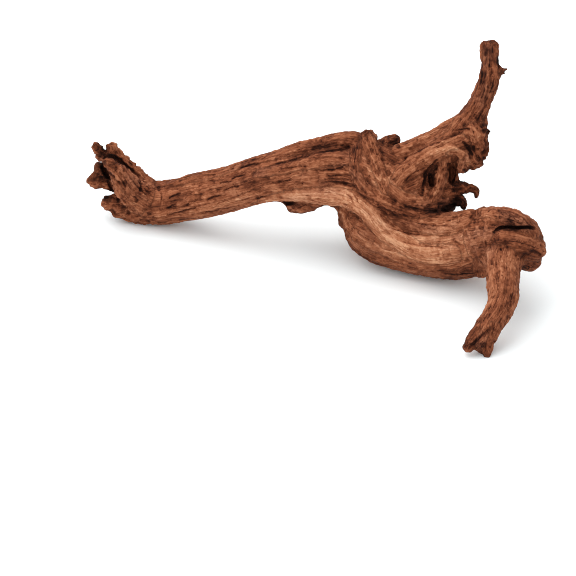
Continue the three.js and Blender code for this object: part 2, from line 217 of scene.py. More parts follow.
# Small strands: splinters, chips and barbs, and the folds that fill the corners between limbs
SPLINTERS = {
    "branch_twig": [(496, 72.5, 65, 2.4), (500.5, 71.3, 65, 1.5), (506, 69.8, 65, 1.0)],
    "branch_wisp": [(499, 73, 65, 1.4), (502.5, 73.6, 65, 0.9), (505, 75, 65, 0.8)],
    "edge_tooth": [(480, 142.5, 42, 3.4), (484, 143, 41, 2.2), (488, 143.6, 41, 1.1)],
    "edge_chip": [(480, 132, 44, 4), (485, 131, 45, 2.6), (488.5, 131.6, 46, 1.3)],
    "lobe_chip": [(476, 156, 40, 3.5), (482, 155.5, 40, 2.4), (486, 155.2, 40, 1.2)],
    "tooth_barb": [(474, 165, 38, 3), (479, 165.4, 38, 2), (482.5, 165, 38, 1)],
    "lip_edge": [(112, 161, 108, 2.6), (107, 159.6, 108, 2.2), (103.5, 160.6, 109, 1.6)],
    "jaw_spur": [(97, 166, 140, 3), (94.5, 171, 141, 2.6), (90, 177, 141, 2.4)],
    "jaw_point": [(94, 180, 141, 4), (89, 180, 141, 2.4), (86.4, 180.2, 141, 1.4)],
    "jaw_step": [(100, 165, 140, 2.6), (96.5, 164, 140, 2), (94.4, 166.5, 140, 1.4)],
    "tooth_step": [(108, 198, 122, 3), (104, 196.4, 121, 2), (102.6, 198, 121, 1.2)],
    "foot_step": [(118, 213, 121, 3), (113.5, 213.6, 121, 2), (112, 212, 121, 1.4)],
    "under_fold": [
        (305, 203, 64, 5.5), (318, 200.5, 60, 6), (332, 200.5, 56, 6), (342, 207, 52, 6),
        (346, 222, 46, 7),
    ],
    "neck_to_leg": [(480, 236, -20, 8), (489, 254, -36, 10), (495, 272, -58, 9), (497, 288, -84, 8)],
    "nub_point": [(296, 207, 62, 4), (291, 208.5, 61, 2.6), (288.8, 206.8, 61, 1.4)],
    "crown_chip": [(364, 137, 58, 4), (362.5, 135.5, 58, 2.4), (366, 131.5, 58, 2)],
    "shoulder_bulge": [(399, 187, 33, 13), (411, 183, 33, 15), (420, 178, 36, 12)],
    "middle_toe": [(479, 344, -140, 4.6), (479, 350.4, -143, 2.6)],
    "nub_chip": [(302, 208, 62, 3.6), (299, 211.4, 62, 1.5)],
    "nub_tail": [(308, 206.6, 62, 3.4), (312.4, 208.4, 62, 1.5)],
    "edge_step": [(480, 148, 42, 4), (484.6, 148.6, 42, 2.2), (487, 150.2, 42, 1.2)],
    "lobe_step": [(464, 166, 38, 3.6), (466, 170.4, 38, 2.2), (464.8, 173, 38, 1.3)],
    "prong_barb": [(472, 186.4, 33, 2.4), (475.4, 187.4, 33, 1.6), (478, 190.6, 33, 1.3)],
}
GROUPS = {
    "limb": LIMB, "sweep": SWEEP, "heart": HEART, "branch": BRANCH, "broken_edge": BROKEN_EDGE,
    "knuckle": KNUCKLE, "leg": LEG, "hollow_end": HOLLOW_END, "splinters": SPLINTERS,
}

# How each group looks: furrows, lumps and pits in millimetres, and tone from dark to pale.
LOOKS = {
    "limb": (0.9, 0.65, 0.6, 0.54), "sweep": (0.7, 0.75, 0.5, 0.60), "heart": (0.5, 1.4, 1.2, 0.63),
    "branch": (0.8, 0.9, 0.8, 0.47), "broken_edge": (0.25, 2.6, 2.0, 0.52),
    "knuckle": (0.5, 1.0, 0.7, 0.48), "leg": (0.22, 1.0, 0.9, 0.56),
    "hollow_end": (0.4, 2.2, 1.5, 0.55), "splinters": (0.4, 0.9, 0.4, 0.46),
}
# Tones of single strands, mostly the wood's own darker and paler strands; the dark tones of trunk_under
# and heel are painted shade under the trunk and under the knuckle's lower lip.
STRAND_TONES = {
    "upper_ridge": 0.52, "pale_strand": 0.74, "trunk": 0.73, "trunk_under": 0.45, "trunk_top": 0.64,
    "pillar": 0.58, "scoop_rim": 0.74, "swirl": 0.46, "inner_swirl": 0.52, "upper_lip": 0.60, "heel": 0.42,
    "lower_lip": 0.46, "crown_knob": 0.58, "crown_block": 0.52, "under_nub": 0.44, "under_fold": 0.40,
    "top_strand": 0.66, "front_strand": 0.64, "hook_prong": 0.40, "lower_prong": 0.32, "left_toe": 0.48,
    "right_toe": 0.46, "neck_to_leg": 0.56,
}

# Cuts into the skin the viewer sees, each a list of (across, drop, depth below the skin, radius).
CUTS = {
    "stub_hollow": [(94.3, 145.4, -0.6, 3.5), (96, 147, 1.6, 2.8)],
    "prong_pit": [(109, 142.6, 0.2, 0.84), (112, 143.2, 0.2, 0.77)],
    "lip_slit": [
        (104, 157.2, 1, 1.27), (109, 155, 2, 1.7), (114, 156, 3, 1.7), (119, 159.6, 2.4, 1.36),
        (126, 165.5, 1.4, 1.02), (134, 172, 0.8, 0.85),
    ],
    "mouth_floor": [(101.5, 166, 4, 2.16), (104.5, 171, 6, 3.06), (108.5, 176, 6, 2.52)],
    "jaw_cut": [
        (92, 180, 0.4, 0.7), (94, 177.2, 0.9, 0.84), (100, 176.2, 1.1, 0.84), (106, 177, 1.4, 0.98),
    ],
    "jaw_root": [(106.5, 180, 1.8, 1.05), (109, 186, 2.4, 1.12), (112, 190.5, 2, 1.05)],
    "tooth_notch": [(102.5, 198.6, -0.2, 1.12), (108, 196, 0.8, 1.05), (114, 197.5, 0.8, 0.98)],
    "knot_hole": [(157.6, 186, 0.6, 1.19), (158.4, 189.5, 0.6, 1.19)],
    "side_dip": [(138.5, 174.5, 0.5, 0.91), (139, 182, 0.9, 1.19), (139.6, 190, 0.6, 0.91)],
    "fold_slit": [
        (322, 182.6, 0.8, 0.77), (335, 182.2, 1.5, 0.98), (346, 183.4, 1.8, 1.05),
        (354, 186.2, 1.1, 0.84),
    ],
    "fold_upper_slit": [(327, 175.6, 0.7, 0.7), (340, 175.2, 1.1, 0.77), (351, 176.6, 0.9, 0.7)],
    "fold_middle_slit": [(325, 179.4, 0.7, 0.7), (338, 178.8, 1.1, 0.77), (352, 180.6, 0.9, 0.7)],
    "ridge_undercut": [
        (312, 154.2, 0.6, 0.91), (325, 151.8, 1.5, 1.26), (340, 150, 2, 1.4), (349, 147.6, 1.6, 1.26),
    ],
    "nub_crevice": [(284, 202.4, 1.8, 1.35), (289, 202.9, 2.8, 1.8), (294, 201.6, 1.6, 1.17)],
    "scoop_floor": [(449.5, 166, 2, 2.52), (452.5, 172, 3, 3.42), (451.5, 180, 3, 3.24)],
    "pillar_crack": [
        (421.5, 196, 1.2, 0.84), (423, 186, 1.8, 1.08), (425, 175, 2.2, 1.2), (429.5, 167, 2.2, 1.14),
        (436, 160.6, 1.6, 0.96),
    ],
    "pillar_recess": [(430, 176, 2.6, 1.96), (431.5, 185, 3.4, 2.24)],
    "prong_shade": [(446, 207, 2.6, 1.54), (455, 205, 3.6, 1.82)],
    "swirl_crease": [
        (404, 206.5, 0.6, 0.72), (418, 209.5, 1, 0.84), (432, 211.4, 1.2, 0.9), (445, 210.2, 1.6, 1.02),
    ],
    "neck_pit": [(470.5, 217, 0.7, 0.91), (473.8, 222.5, 1.1, 1.12)],
    "neck_hole": [(485, 241.5, 0.7, 0.98), (485.6, 245.5, 0.7, 1.05)],
    "trunk_knot": [(452, 240.4, 0.4, 0.84), (455.8, 242.8, 0.7, 1.12), (458.6, 244.6, 0.4, 0.77)],
    "knuckle_slit": [
        (492.4, 233, 0.6, 1.1), (496.8, 229, 2, 1.36), (505, 227.6, 6, 1.61), (515, 228.2, 7, 1.7),
        (525, 227.6, 5, 1.53), (532, 228.6, 1, 1.02),
    ],
    "heel_split": [(530, 249.6, 0.4, 0.63), (535, 252, 1, 0.84), (540.5, 257, 1, 0.84)],
    "leg_split": [
        (486.5, 329.4, 0.3, 0.68), (478, 336.4, 1, 0.83), (470, 344, 1.5, 0.98),
        (466.8, 347.6, 1.1, 0.9),
    ],
    "branch_cut": [(496.6, 58.5, 0.3, 0.63), (497.2, 64, 0.5, 0.7), (498, 68.4, 0.6, 0.91)],
    "lobe_groove": [(462.5, 142.4, 0.8, 0.91), (467, 147.4, 1.6, 1.19), (471.4, 155, 1.2, 1.05)],
    "block_notch": [(396.5, 145.5, 1, 1.26), (399, 148, 1.4, 1.26)],
    "arm_undercut": [
        (389, 158, 0.3, 0.8), (395, 162.6, 0.8, 1.1), (402, 164, 0.6, 1), (409, 160.4, 0.2, 0.7),
    ],
}

# Darker and paler patches of the skin the viewer sees, partly the wood's own patches and a scar, partly
# painted shade on a face turned from the light, in creases and valleys and along the trunk's lower edge:
# across, drop, radius and change of tone.
STAINS_AND_PAINTED_SHADE = [
    (356, 229, 13, -0.22), (350, 215, 8, -0.20), (365, 247, 9, -0.14), (251, 186, 9, -0.16),
    (259, 191, 7, -0.10), (327, 147, 13, -0.08), (386, 151, 9, -0.12), (450, 273, 11, -0.14),
    (470, 268, 10, -0.14), (420, 269, 10, -0.10), (434, 209, 9, -0.16), (452, 207, 8, -0.22),
    (305, 190, 16, 0.07), (346, 197, 8, 0.10), (390, 240, 10, 0.12), (440, 229, 11, 0.08),
    (452, 150, 7, 0.10), (410, 150, 10, 0.06), (520, 213, 10, 0.10), (300, 164, 15, 0.05),
    (510, 221, 9, -0.12), (529, 255, 9, -0.10), (507, 314, 8, -0.12), (474, 346, 9, -0.06),
    (497, 62, 5, -0.24), (494, 86, 7, -0.14), (488, 105, 6, -0.08), (488, 50, 6, -0.10),
    (139, 190, 8, -0.14), (151, 186, 6, -0.08), (104, 170, 8, -0.18), (400, 207, 12, -0.10),
    (372, 196, 9, -0.06), (482, 150, 7, -0.14), (470, 148, 5, -0.08),
]

# Raised ridges on the skin the viewer sees, with highlights painted on their crests: half width, height,
# and (across, drop) points.
RIDGES = [
    (2.2, 2.6, [(484, 208), (485, 222), (484, 236), (487, 250), (486, 263)]),
    (1.5, 2.2, [(475, 224), (478.6, 236), (477, 250), (480, 264)]),
    (1.4, 1.9, [(466, 228), (471, 242), (468, 258)]),
    (2.4, 1.4, [(356, 204), (371, 222), (388, 237), (404, 245), (424, 250)]),
    (1.6, 1.0, [(372, 215), (386, 228), (406, 236), (432, 240)]),
    (1.6, 1.0, [(378, 248), (402, 256), (430, 262), (456, 263)]),
    (2.2, 1.8, [(428, 157), (438, 150.5), (451, 147.6), (462, 152), (466.5, 161)]),
    (1.8, 1.3, [(362, 150), (366, 165), (372, 180), (384, 195)]),
    (1.6, 1.2, [(356, 165), (360, 182), (372, 197), (392, 206), (412, 212)]),
    (1.4, 1.1, [(380, 166), (390, 181), (405, 193), (424, 199)]),
    (1.6, 1.1, [(418, 154), (436, 146), (454, 138), (470, 133)]),
    (1.6, 1.1, [(322, 187.6), (338, 187), (352, 189)]),
    (1.4, 0.9, [(322, 173), (338, 172.6), (352, 173.4)]),
    (1.4, 0.9, [(200, 190), (222, 184), (246, 179), (268, 173.6)]),
    (1.2, 0.9, [(180, 186), (204, 180), (232, 172), (258, 167)]),
    (1.2, 0.8, [(186, 213), (210, 207), (238, 199), (262, 193)]),
    (1.6, 1.2, [(116, 163), (126, 176), (138, 190), (150, 200)]),
    (1.4, 1.1, [(118, 156), (130, 166), (142, 177), (152, 185)]),
    (1.4, 1.0, [(486, 60), (487, 75), (484, 92), (476, 108)]),
    (1.2, 0.9, [(492, 54), (493.4, 70), (491, 90), (484, 110)]),
    (1.4, 0.9, [(500, 262), (499, 282), (499, 300), (491, 318), (478, 336)]),
]

# Drying cracks on the skin the viewer sees, with shade painted into them: half width, depth, and (across,
# drop) points.
CRACKS = [
    (0.68, 1.35, [(205, 199.6), (212, 197), (221, 194.4)]),
    (0.68, 1.26, [(221, 191), (230, 187.6), (239, 185)]),
    (0.77, 1.44, [(231, 179.4), (238, 176), (245, 173.8)]),
    (0.59, 1.08, [(218, 184.4), (229, 180.4)]),
    (0.77, 1.44, [(236, 169.4), (248, 165.2), (260, 162.8)]),
    (0.68, 1.17, [(184, 204.2), (192, 201.4), (201, 198.8)]),
    (0.68, 1.08, [(166, 199), (174, 195), (181, 192.6)]),
    (0.77, 1.17, [(164, 208), (176, 203.6)]),
    (0.77, 1.35, [(165, 215.2), (182, 211), (200, 205)]),
    (0.59, 0.99, [(196, 214.6), (212, 210.6), (228, 207)]),
    (0.68, 1.17, [(255, 198.4), (267, 195.8)]),
    (0.59, 0.90, [(270, 184), (283, 181), (296, 178.6)]),
    (0.68, 1.17, [(264, 167.6), (280, 163), (300, 158), (314, 153.6)]),
    (0.51, 0.81, [(279, 169), (296, 167), (311, 166)]),
    (0.59, 0.99, [(311, 170.6), (326, 170), (340, 168.4), (349, 163)]),
    (0.59, 0.99, [(294, 184), (303, 183.4), (313, 184.2)]),
    (0.59, 1.08, [(353, 194), (357, 199), (358.4, 204)]),
    (0.59, 0.90, [(346, 193), (351, 198), (354, 205)]),
    (0.68, 1.17, [(400, 163), (412, 155), (425, 147.6), (440, 141.6), (460, 133)]),
    (0.59, 1.08, [(454, 131.4), (462, 129.4), (471, 129.4)]),
    (0.59, 1.08, [(480.4, 71), (480.6, 78), (480, 86)]),
    (0.59, 0.90, [(484, 88), (483, 94), (480, 100)]),
    (0.59, 0.90, [(493, 76), (492, 86), (488.6, 96)]),
    (0.51, 0.81, [(489, 54), (489, 62), (488, 72)]),
    (0.51, 0.81, [(476, 100), (472, 108), (464, 116)]),
    (0.59, 0.81, [(440, 273), (458, 275), (477, 272.6)]),
    (0.51, 0.72, [(395, 240), (420, 246), (445, 247)]),
    (0.51, 0.72, [(385, 226), (405, 233), (430, 236)]),
    (0.51, 0.72, [(412, 222), (432, 226), (450, 226)]),
    (0.59, 0.90, [(502, 219), (512, 221), (521, 225)]),
    (0.59, 0.81, [(497, 247), (500, 251)]),
    (0.51, 0.72, [(490, 300), (486, 313), (477, 325)]),
    (0.51, 0.81, [(128, 176), (136, 186), (146, 195)]),
    (0.51, 0.81, [(113, 168), (120, 178), (126, 188)]),
    (0.59, 0.90, [(160, 190), (161, 197), (159, 205)]),
]

# The viewer's own directions, and how the skin that the viewer sees is found
TO_VIEWER = np.array([0.0, -math.cos(SKETCH_TILT), math.sin(SKETCH_TILT)])
SKETCH_UP = np.array([0.0, math.sin(SKETCH_TILT), math.cos(SKETCH_TILT)])
FAR_IN_FRONT = 320.0
SEARCH_STEPS = 90
STEP_BACK = -2
STEP_FORWARD = FIELD_MARGIN * 0.8
STEP_SHARE = 0.9
SIGHT_BIN = 2
FACING_VIEWER = 0.05
VISIBLE_SLACK = 6.0

# Any direction that no strand runs along, to start a strand's frame from
OFF_EVERY_STRAND = (0.31, 0.17, 0.94)

# Lengths of the skin's marks, along the strand and across it, with their strengths
GRAIN_REACH = 5
STRAND_SHIFT = np.array([37.3, 11.7, 23.9])
SWAY_LENGTH = 34
SWAY = 2.4
FURROW_SIZE = (60, 5.5, 5.5)
THREAD_SIZE = (16, 2.2, 2.2)
THREAD_SHARE = 0.6
CRACK_SIZE = (85, 9.5, 9.5)
CRACK_WIDTH = 0.05
CRACK_PATCH_SIZE = (38, 16, 16)
CRACK_PATCH_GAIN = 3.0
CRACK_DEPTH = 0.9
PIT_SIZE = 3.0
PIT_START = 0.40
PIT_RANGE = 0.3
TONE_PATCH_SIZE = (46, 15, 15)
STREAK_SIZE = (34, 2.2, 2.2)
WOBBLE_LENGTH = 6
WOBBLE = 0.8
RIDGE_HIGHLIGHT = 0.11
END_FADE = 6.4

# Lumps in three sizes: size, offset in the noise, and share
LUMPS = ((9.0, 0, 0.8), (4.4, 31, 0.75), (2.6, 57, 0.3))

# How far round a cut the grain is smoothed away and shade is painted into the skin
CUT_FALLOFF = 0.6
CUT_SMOOTHING = 0.8
CUT_PAINTED_SHADE = 0.45

# How closed in a point is, felt at three distances: reach and share. The material paints shade into
# creases by it.
CREASE_SHADE_REACHES = ((2.5, 0.35), (6.0, 0.4), (14.0, 0.25))
CREASE_SHADE_MARGIN = 4


def place(points):
    """Sketch points as places in the part's own frame."""
    points = np.asarray(points, dtype=float)
    rise = SKETCH_FLOOR - points[:, 1]
    height = (rise - points[:, 2] * math.sin(SKETCH_TILT)) / math.cos(SKETCH_TILT)
    return np.stack([points[:, 0] - SKETCH_MIDDLE, points[:, 2] - DEPTH_MIDDLE, height], axis=1)


def on_sketch(places):
    """Across and drop of places in the part's frame, and how far each lies towards the viewer."""
    middle = places + np.array([0.0, DEPTH_MIDDLE, 0.0])
    return middle[:, 0] + SKETCH_MIDDLE, SKETCH_FLOOR - middle @ SKETCH_UP, middle @ TO_VIEWER


def smooth_curve(knots, radii):
    """Samples along a centripetal Catmull-Rom curve through the knots, with their radii."""
    ends = [2 * knots[0] - knots[1], *knots, 2 * knots[-1] - knots[-2]]
    samples, widths = [], []
    for span in range(len(knots) - 1):
        p0, p1, p2, p3 = ends[span:span + 4]
        d0, d1, d2 = (math.sqrt(np.linalg.norm(b - a)) for a, b in ((p0, p1), (p1, p2), (p2, p3)))
        leave = ((p1 - p0) / d0 - (p2 - p0) / (d0 + d1) + (p2 - p1) / d1) * d1
        arrive = ((p2 - p1) / d1 - (p3 - p1) / (d1 + d2) + (p3 - p2) / d2) * d1
        for step in range(SAMPLES_PER_SPAN):
            t = step / SAMPLES_PER_SPAN
            bend = (2 * p1 - 2 * p2 + leave + arrive) * t ** 3
            samples.append(bend + (-3 * p1 + 3 * p2 - 2 * leave - arrive) * t ** 2 + leave * t + p1)
            widths.append(radii[span] * (1 - t) + radii[span + 1] * t)
    return np.array([*samples, knots[-1]]), np.array([*widths, radii[-1]])


class Strand:
    """A chain of short tapered rods along a smooth curve, with a frame that runs along it untwisted."""

    def __init__(self, places, radii, look=(0, 0, 0, 0)):
        self.centres, self.radii = smooth_curve(places, radii)
        self.axes = np.diff(self.centres, axis=0)
        self.lengths = np.linalg.norm(self.axes, axis=1)
        self.starts = np.concatenate([[0.0], np.cumsum(self.lengths)])
        self.low = (self.centres - self.radii[:, None]).min(axis=0)
        self.high = (self.centres + self.radii[:, None]).max(axis=0)
        self.furrows, self.lumps, self.pits, self.tone = look
        self.sides = self.untwisted_sides()

    def untwisted_sides(self):
        """A direction square to each rod that turns as little as it can from one rod to the next."""
        along = self.axes / self.lengths[:, None]
        side = np.cross(along[0], OFF_EVERY_STRAND)
        sides = []
        for direction in along:
            side = side - direction * (side @ direction)
            side = side / np.linalg.norm(side)
            sides.append(side)
        return np.array(sides)

    def near(self, points, margin):
        """Which points lie in the strand's box, widened by a margin."""
        in_box = (points > self.low - margin) & (points < self.high + margin)
        return np.flatnonzero(np.all(in_box, axis=1))

    def measure(self, points):
        """Gap to the strand's surface, the rod nearest each point, and the share of the way along it."""
        best = np.full(len(points), np.inf)
        rod = np.zeros(len(points), dtype=int)
        share = np.zeros(len(points))
        for i, axis in enumerate(self.axes):
            offset = points - self.centres[i]
            t = np.clip(offset @ axis / self.lengths[i] ** 2, 0, 1)
            offset -= t[:, None] * axis
            gap = np.sqrt(np.einsum("ij,ij->i", offset, offset))
            gap -= self.radii[i] + t * (self.radii[i + 1] - self.radii[i])
            closer = gap < best
            best[closer] = gap[closer]
            rod[closer] = i
            share[closer] = t[closer]
        return best, rod, share

    def grain(self, points, rod, share):
        """Where points lie along the strand and across it."""
        offset = points - self.centres[rod] - share[:, None] * self.axes[rod]
        side = self.sides[rod]
        other = np.cross(self.axes[rod] / self.lengths[rod][:, None], side)
        along = self.starts[rod] + share * self.lengths[rod]
        return np.stack([along, np.sum(offset * side, axis=1), np.sum(offset * other, axis=1)], axis=1)


def soft_max(a, b, width):
    """The larger of two values, rounded where they are within a width of each other."""
    blend = np.maximum(width - np.abs(a - b), 0) / width
    return np.maximum(a, b) + blend * blend * width / 4


class Wood:
    """The whole piece as a distance: strands melt together, then hollows and cuts are taken out."""

    def __init__(self):
        self.strands = []
        for group, members in GROUPS.items():
            for name, points in members.items():
                *relief, tone = LOOKS[group]
                look = (*relief, STRAND_TONES.get(name, tone))
                self.strands.append(Strand(place(points), [p[3] for p in points], look))
        self.hollows = [Strand(place(points), [p[3] for p in points]) for points in HOLLOWS.values()]
        self.cuts = []
        blades = [blade for points in CUTS.values() for blade in self.cut_on_skin(points)]
        self.cuts = blades

    def cut_on_skin(self, points):
        """A cut from the skin that the viewer sees down to its depth, as rods side by side."""
        points = np.asarray(points, dtype=float)
        on_floor = np.column_stack([points[:, :2], np.zeros(len(points))])
        places = place(on_floor) + FAR_IN_FRONT * TO_VIEWER
        for _ in range(SEARCH_STEPS):
            step = np.clip(self.distance(places), STEP_BACK, STEP_FORWARD)
            places = places - step[:, None] * TO_VIEWER * STEP_SHARE
        depths, radii = points[:, 2:3], points[:, 3]
        return [Strand(places - share * depths * TO_VIEWER, radii) for share in CUT_SHARES]

    def distance(self, points, margin=FIELD_MARGIN):
        """Distance to the wood's surface, below zero inside the wood and no more than the margin."""
        total = np.zeros(len(points))
        for strand in self.strands:
            near = strand.near(points, margin)
            if len(near):
                total[near] += np.exp(-strand.measure(points[near])[0] / CREASE)
        result = np.full(len(points), margin)
        touched = total > 0
        result[touched] = np.minimum(-CREASE * np.log(total[touched]), margin)
        for strands, edge in ((self.hollows, HOLLOW_EDGE), (self.cuts, CUT_EDGE)):
            for strand in strands:
                near = strand.near(points, edge + CARVED_MARGIN)
                if len(near):
                    result[near] = soft_max(result[near], -strand.measure(points[near])[0], edge)
        return result

    def cut_gap(self, points):
        """Distance to the nearest cut, no more than the cuts' reach."""
        gap = np.full(len(points), CUT_REACH)
        for strand in self.cuts:
            near = strand.near(points, CUT_REACH)
            if len(near):
                gap[near] = np.minimum(gap[near], strand.measure(points[near])[0])
        return gap

    def box(self):
        low = np.min([strand.low for strand in self.strands], axis=0)
        high = np.max([strand.high for strand in self.strands], axis=0)
        return low, high


NOISE_TABLE = 256
NOISE_MASK = NOISE_TABLE - 1
NOISE_GAIN = 1.6


class Noise:
    """Smooth gradient noise on a lattice, from a seeded table of directions."""

    def __init__(self, seed):
        rng = np.random.default_rng(seed)
        directions = rng.normal(size=(NOISE_TABLE, 3))
        self.directions = directions / np.linalg.norm(directions, axis=1)[:, None]
        self.order = rng.permutation(NOISE_TABLE)

    def __call__(self, points):
        base = np.floor(points).astype(int)
        part = points - base
        ease = part ** 3 * (part * (part * 6 - 15) + 10)
        value = np.zeros(len(points))
        for corner in CORNERS:
            cell = (base + corner) & NOISE_MASK
            key = self.order[cell[:, 0]]
            for axis in (1, 2):
                key = self.order[(key + cell[:, axis]) & NOISE_MASK]
            weight = np.prod(np.where(corner, ease, 1 - ease), axis=1)
            value += weight * np.einsum("ij,ij->i", self.directions[key], part - corner)
        return value * NOISE_GAIN


# The eight corners of a cell, and the pairs of corners along its twelve edges
CORNERS = np.array([[c & 1, (c >> 1) & 1, c >> 2] for c in range(8)])
EDGES = [(c, c | bit) for c in range(8) for bit in (1, 2, 4) if not c & bit]


def corners_connected(mask):
    """True where the chosen corners of a cell hang together along its edges."""
    reached = mask & -mask
    for _ in range(8):
        for a, b in EDGES:
            both = (1 << a) | (1 << b)
            if mask & both == both and reached & both:
                reached |= both
    return reached == mask


# True for each choice of corners inside the wood that leaves both sides of a cell in one piece
SIMPLE_CELL = np.array([corners_connected(m) and corners_connected(255 ^ m) for m in range(256)])


class Skin:
    """The surface of a distance, found on a grid that is fine only where the surface runs."""

    def __init__(self, wood, cell):
        low, high = wood.box()
        coarse = cell * 2 ** COARSE_HALVINGS
        self.cell = cell
        self.low = low - BORDER_CELLS * coarse
        counts = np.ceil((high - self.low) / coarse).astype(int) + 2
        axes = [np.arange(n) for n in counts]
        cells = np.stack(np.meshgrid(*axes, indexing="ij"), axis=-1).reshape(-1, 3)
        for halving in range(COARSE_HALVINGS):
            size = cell * 2 ** (COARSE_HALVINGS - halving)
            middle = self.low + (cells + 0.5) * size
            cells = cells[np.abs(wood.distance(middle)) < size * KEPT_CELLS]
            cells = (cells[:, None, :] * 2 + CORNERS[None]).reshape(-1, 3)
        self.counts = counts * 2 ** COARSE_HALVINGS + 1
        self.values = np.full(np.prod(self.counts), np.float32(FIELD_MARGIN))
        self.corner_steps = CORNERS @ self.strides()
        self.cells = np.sort(cells @ self.strides())
        corners = np.unique(self.cells[:, None] + self.corner_steps)
        self.values[corners] = wood.distance(self.low + self.unpack(corners) * cell, FINE_MARGIN)

    def strides(self):
        return np.array([1, self.counts[0], self.counts[0] * self.counts[1]])

    def unpack(self, index):
        nx, ny, _ = self.counts
        return np.stack([index % nx, index // nx % ny, index // (nx * ny)], axis=1)

    def masks(self):
        inside = self.values[self.cells[:, None] + self.corner_steps] < 0
        return inside @ (1 << np.arange(8))

    def fill_pinches(self):
        """Fills the gaps finer than a cell, so that the surface stays closed."""
        while True:
            pinched = self.cells[~SIMPLE_CELL[self.masks()]]
            if not len(pinched):
                return
            corners = pinched[:, None] + self.corner_steps
            open_values = np.where(self.values[corners] >= 0, self.values[corners], np.inf)
            nearest = corners[np.arange(len(corners)), open_values.argmin(axis=1)]
            self.values[nearest] = PINCH_FILL * self.cell

    def mesh(self):
        """One vertex in each crossed cell, and one quad across each crossed edge of the grid."""
        masks = self.masks()
        crossed = self.cells[(masks > 0) & (masks < 255)]
        values = self.values[crossed[:, None] + self.corner_steps]
        total = np.zeros((len(crossed), 3))
        hits = np.zeros(len(crossed))
        for a, b in EDGES:
            differ = (values[:, a] < 0) != (values[:, b] < 0)
            share = values[differ, a] / (values[differ, a] - values[differ, b])
            total[differ] += CORNERS[a] + share[:, None] * (CORNERS[b] - CORNERS[a])
            hits[differ] += 1
        vertices = self.low + (self.unpack(crossed) + total / hits[:, None]) * self.cell
        steps = self.strides()
        quads = []
        for axis in range(3):
            u, v = steps[(axis + 1) % 3], steps[(axis + 2) % 3]
            start = values[:, 0] < 0
            end = values[:, 1 << axis] < 0
            for rising in (True, False):
                base = crossed[(start & ~end) if rising else (~start & end)]
                ring = [base, base - u, base - u - v, base - v]
                quads.append(np.searchsorted(crossed, np.stack(ring if rising else ring[::-1], axis=1)))
        return vertices, np.concatenate(quads)


def largest_part(vertices, quads):
    """Drops the loose scraps, keeping the part of the mesh with the most corners."""
    label = np.arange(len(vertices))
    while True:
        lowest = label[quads].min(axis=1)
        before = label.copy()
        for side in range(4):
            np.minimum.at(label, quads[:, side], lowest)
        label = label[label]
        if np.array_equal(label, before):
            break
    keep = label == np.bincount(label).argmax()
    number = np.cumsum(keep) - 1
    return vertices[keep], number[quads[keep[quads[:, 0]]]]


def vertex_normals(vertices, quads):
    total = np.zeros_like(vertices)
    first, second, third, fourth = (vertices[quads[:, side]] for side in range(4))
    square = np.cross(third - first, fourth - second)
    for side in range(4):
        np.add.at(total, quads[:, side], square)
    return total / np.maximum(np.linalg.norm(total, axis=1), 1e-9)[:, None]


def relax(vertices, quads):
    """Evens out the steps that the grid leaves in the surface."""
    for _ in range(RELAX_PASSES):
        total = np.zeros_like(vertices)
        count = np.zeros(len(vertices))
        for side in range(4):
            for other in (side - 1, side - 3):
                np.add.at(total, quads[:, side], vertices[quads[:, other]])
                np.add.at(count, quads[:, side], 1)
        vertices = RELAX_KEEP * vertices + (1 - RELAX_KEEP) * total / count[:, None]
    return vertices


def along_path(across, drop, path, width):
    """How much points on the sketch lie on a path of straight stretches, less towards its two ends."""
    path = np.asarray(path, dtype=float)
    point = np.stack([across, drop], axis=1)
    best = np.full(len(point), np.inf)
    along = np.zeros(len(point))
    for i in range(len(path) - 1):
        axis = path[i + 1] - path[i]
        t = np.clip((point - path[i]) @ axis / (axis @ axis), 0, 1)
        gap = np.linalg.norm(point - path[i] - t[:, None] * axis, axis=1)
        closer = gap < best
        best[closer] = gap[closer]
        along[closer] = (i + t[closer]) / (len(path) - 1)
    return np.exp(-(best / width) ** 2) * np.clip(END_FADE * along * (1 - along), 0, 1)


def seen_by_viewer(vertices, normals):
    """True for points that face the viewer with nothing in front of them."""
    across, drop, nearness = on_sketch(vertices)
    bins = tuple(np.round(value / SIGHT_BIN).astype(int) for value in (across, drop))
    front = np.full((SKETCH_SIZE, SKETCH_SIZE), -np.inf)
    np.maximum.at(front, bins, nearness)
    return (normals @ TO_VIEWER > FACING_VIEWER) & (nearness > front[bins] - VISIBLE_SLACK)


